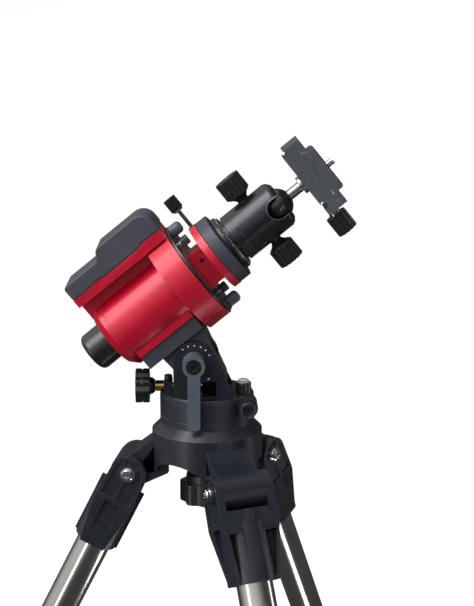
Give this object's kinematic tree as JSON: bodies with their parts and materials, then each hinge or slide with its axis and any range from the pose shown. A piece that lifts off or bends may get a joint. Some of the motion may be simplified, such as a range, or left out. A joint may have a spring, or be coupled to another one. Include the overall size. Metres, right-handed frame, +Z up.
{
  "type": "star tracker mount",
  "caption": "Motorised star tracker on an altitude-azimuth wedge and folding steel-leg tripod, with ball head and quick-release clamp.",
  "frame": {"origin": "on the floor, under the middle of the whole mount's box", "axes": "+Z up; the polar axis lies in the XZ plane and rises towards +X; the first leg points to -X"},
  "size_m": [0.6508, 0.6936, 0.9449],
  "materials": {
    "casting": "dark slate powder coat",
    "charcoal": "charcoal paint",
    "cover_plastic": "fine moulded texture",
    "red_anodised": "satin red anodised",
    "grey_anodised": "grey anodised",
    "black_anodised": "satin black",
    "black_plastic": "moulded",
    "grey_plastic": "moulded",
    "steel": "polished stainless",
    "brass": "turned",
    "rubber": "moulded",
    "battery_wrap": "shrink wrap",
    "level_body": "clear vial in a black cup"
  },
  "bodies": {
    "crown": {"tripod_hub": "casting"},
    "hub_knob": {"hub_knob": "black_plastic"},
    "leg_1": {"leg_casting_1": "casting", "leg_bolt_1": "steel", "upper_tube_1": "steel", "leg_clamp_1": "casting"},
    "leg_knob_1": {"leg_clamp_knob_1": "black_plastic"},
    "lower_leg_1": {"lower_tube_1": "steel", "foot_1": "rubber"},
    "leg_2": {"leg_casting_2": "casting", "leg_bolt_2": "steel", "upper_tube_2": "steel", "leg_clamp_2": "casting"},
    "leg_knob_2": {"leg_clamp_knob_2": "black_plastic"},
    "lower_leg_2": {"lower_tube_2": "steel", "foot_2": "rubber"},
    "leg_3": {"leg_casting_3": "casting", "leg_bolt_3": "steel", "upper_tube_3": "steel", "leg_clamp_3": "casting"},
    "leg_knob_3": {"leg_clamp_knob_3": "black_plastic"},
    "lower_leg_3": {"lower_tube_3": "steel", "foot_3": "rubber"},
    "base": {"azimuth_base": "casting", "bubble_level": "level_body", "altitude_bolt": "steel"},
    "azimuth_knob": {"azimuth_knob": "black_plastic"},
    "lever": {"lock_lever": "casting"},
    "altitude_screw": {"altitude_knob": "black_plastic", "altitude_worm": "brass"},
    "tilt": {"tilt_bracket": "charcoal", "tracker_housing": "red_anodised", "electronics_cover": "cover_plastic", "battery_pack": "battery_wrap", "front_plate": "black_anodised", "motor": "black_anodised", "scope_tube": "black_anodised", "bearing_front": "steel", "bearing_rear": "steel"},
    "worm": {"worm": "steel"},
    "cap": {"scope_cap": "black_plastic"},
    "flange_knob_top": {"flange_knob_top": "grey_plastic"},
    "flange_knob_bottom": {"flange_knob_bottom": "grey_plastic"},
    "rotor": {"ra_shaft": "steel", "worm_wheel": "brass", "mount_block": "red_anodised", "adapter_disc": "charcoal", "pan_base": "black_anodised"},
    "rotor_screw_top": {"rotor_screw_top": "black_plastic"},
    "rotor_screw_bottom": {"rotor_screw_bottom": "black_plastic"},
    "block_screw": {"block_screw": "steel"},
    "case": {"ball_case": "black_anodised"},
    "tension_knob": {"tension_knob": "black_plastic"},
    "lock_knob": {"lock_knob": "black_plastic"},
    "stem": {"ball_stem": "steel"},
    "clamp": {"clamp_body": "grey_anodised"},
    "jaw": {"clamp_jaw": "grey_anodised"},
    "jaw_knob": {"clamp_knob": "black_plastic"},
    "plate": {"camera_plate": "grey_anodised"},
    "plate_screw": {"camera_screw": "steel"}
  },
  "joints": [
    {"name": "hub_knob_turn", "type": "hinge", "parent": "crown", "child": "hub_knob", "pos_m": [0.07252, 0.02693, 0.63843], "axis": [0, 0, 1], "continuous": true},
    {"name": "leg_fold_1", "type": "hinge", "parent": "crown", "child": "leg_1", "pos_m": [0.00419, 0.03653, 0.64423], "axis": [-0.1392, -0.9903, 0], "range_deg": [0, 26]},
    {"name": "leg_extend_1", "type": "slide", "parent": "leg_1", "child": "lower_leg_1", "axis": [-0.4465, 0.0627, -0.8926], "range_m": [0, 0.28]},
    {"name": "leg_knob_turn_1", "type": "hinge", "parent": "leg_1", "child": "leg_knob_1", "pos_m": [-0.26879, 0.0749, 0.16505], "axis": [-0.8839, 0.1242, 0.4509], "range_deg": [0, 180]},
    {"name": "leg_fold_2", "type": "hinge", "parent": "crown", "child": "leg_2", "pos_m": [0.09837, -0.03705, 0.64423], "axis": [0.9272, 0.3746, 0], "range_deg": [0, 26]},
    {"name": "leg_extend_2", "type": "slide", "parent": "leg_2", "child": "lower_leg_2", "axis": [0.1689, -0.418, -0.8926], "range_m": [0, 0.28]},
    {"name": "leg_knob_turn_2", "type": "hinge", "parent": "leg_2", "child": "leg_knob_2", "pos_m": [0.20163, -0.29264, 0.16505], "axis": [0.3344, -0.8276, 0.4509], "range_deg": [0, 180]},
    {"name": "leg_fold_3", "type": "hinge", "parent": "crown", "child": "leg_3", "pos_m": [0.115, 0.0813, 0.64423], "axis": [-0.788, 0.6157, 0], "range_deg": [0, 26]},
    {"name": "leg_extend_3", "type": "slide", "parent": "leg_3", "child": "lower_leg_3", "axis": [0.2776, 0.3553, -0.8926], "range_m": [0, 0.28]},
    {"name": "leg_knob_turn_3", "type": "hinge", "parent": "leg_3", "child": "leg_knob_3", "pos_m": [0.28471, 0.29853, 0.16505], "axis": [0.5495, 0.7034, 0.4509], "range_deg": [0, 180]},
    {"name": "azimuth_turn", "type": "hinge", "parent": "crown", "child": "base", "pos_m": [0.07252, 0.02693, 0.71843], "axis": [0, 0, 1], "continuous": true},
    {"name": "azimuth_knob_turn", "type": "hinge", "parent": "base", "child": "azimuth_knob", "pos_m": [0.10852, -0.01107, 0.70953], "axis": [0, -1, 0], "range_deg": [0, 180]},
    {"name": "lock_lever_swing", "type": "hinge", "parent": "base", "child": "lever", "pos_m": [0.06082, -0.01807, 0.75063], "axis": [0, -1, 0], "range_deg": [-30, 60]},
    {"name": "altitude_tilt", "type": "hinge", "parent": "base", "child": "tilt", "pos_m": [0.06082, 0.02693, 0.75063], "axis": [0, -1, 0], "range_deg": [-37, 8]},
    {"name": "altitude_knob_turn", "type": "hinge", "parent": "base", "child": "altitude_screw", "pos_m": [0.02052, 0.02693, 0.72243], "axis": [1, 0, 0], "continuous": true},
    {"name": "ra_turn", "type": "hinge", "parent": "tilt", "child": "rotor", "pos_m": [0.06445, 0.02693, 0.82846], "axis": [0.7771, 0, 0.6293], "continuous": true},
    {"name": "worm_turn", "type": "hinge", "parent": "tilt", "child": "worm", "pos_m": [0.03744, 0.02693, 0.84274], "axis": [0, 1, 0], "continuous": true},
    {"name": "cap_pull", "type": "slide", "parent": "tilt", "child": "cap", "axis": [-0.7771, 0, -0.6293], "range_m": [0, 0.03]},
    {"name": "flange_knob_top_turn", "type": "hinge", "parent": "tilt", "child": "flange_knob_top", "pos_m": [0.04549, 0.02693, 0.86458], "axis": [0.7771, 0, 0.6293], "range_deg": [0, 180]},
    {"name": "flange_knob_bottom_turn", "type": "hinge", "parent": "tilt", "child": "flange_knob_bottom", "pos_m": [0.09584, 0.02693, 0.80241], "axis": [0.7771, 0, 0.6293], "range_deg": [0, 180]},
    {"name": "rotor_screw_top_turn", "type": "hinge", "parent": "rotor", "child": "rotor_screw_top", "pos_m": [0.05367, 0.02693, 0.85448], "axis": [0.7771, 0, 0.6293], "range_deg": [0, 180]},
    {"name": "rotor_screw_bottom_turn", "type": "hinge", "parent": "rotor", "child": "rotor_screw_bottom", "pos_m": [0.08766, 0.02693, 0.81251], "axis": [0.7771, 0, 0.6293], "range_deg": [0, 180]},
    {"name": "block_screw_turn", "type": "hinge", "parent": "rotor", "child": "block_screw", "pos_m": [0.04376, 0.02693, 0.88634], "axis": [0.6293, 0, -0.7771], "range_deg": [0, 180]},
    {"name": "pan_turn", "type": "hinge", "parent": "rotor", "child": "case", "pos_m": [0.09786, 0.02693, 0.85552], "axis": [0.7771, 0, 0.6293], "continuous": true},
    {"name": "tension_knob_turn", "type": "hinge", "parent": "case", "child": "tension_knob", "pos_m": [0.14315, 0.02693, 0.8433], "axis": [0.6293, 0, -0.7771], "range_deg": [0, 180]},
    {"name": "lock_knob_turn", "type": "hinge", "parent": "case", "child": "lock_knob", "pos_m": [0.09532, 0.02693, 0.90236], "axis": [0.6293, 0, -0.7771], "range_deg": [0, 180]},
    {"name": "ball_drop", "type": "hinge", "parent": "case", "child": "stem", "pos_m": [0.13439, 0.02693, 0.8851], "axis": [0.6293, 0, -0.7771], "range_deg": [-35, 90]},
    {"name": "clamp_turn", "type": "hinge", "parent": "stem", "child": "clamp", "pos_m": [0.15615, 0.02693, 0.90272], "axis": [-0.7771, 0, -0.6293], "continuous": true},
    {"name": "jaw_slide", "type": "slide", "parent": "clamp", "child": "jaw", "axis": [0.6293, 0, -0.7771], "range_m": [0, 0.003]},
    {"name": "jaw_knob_turn", "type": "hinge", "parent": "jaw", "child": "jaw_knob", "pos_m": [0.19219, 0.02693, 0.87014], "axis": [0.6293, 0, -0.7771], "continuous": true},
    {"name": "plate_slide", "type": "slide", "parent": "clamp", "child": "plate", "axis": [0, 1, 0], "range_m": [-0.015, 0.015]},
    {"name": "plate_screw_turn", "type": "hinge", "parent": "plate", "child": "plate_screw", "pos_m": [0.17325, 0.02693, 0.91656], "axis": [0.7771, 0, 0.6293], "continuous": true}
  ],
  "couplings": [
    {"joint": "altitude_knob_turn", "follows": "altitude_tilt", "ratio": 40},
    {"joint": "worm_turn", "follows": "ra_turn", "ratio": 144},
    {"joint": "jaw_knob_turn", "follows": "jaw_slide", "rad_per_m": -5026.5}
  ]
}
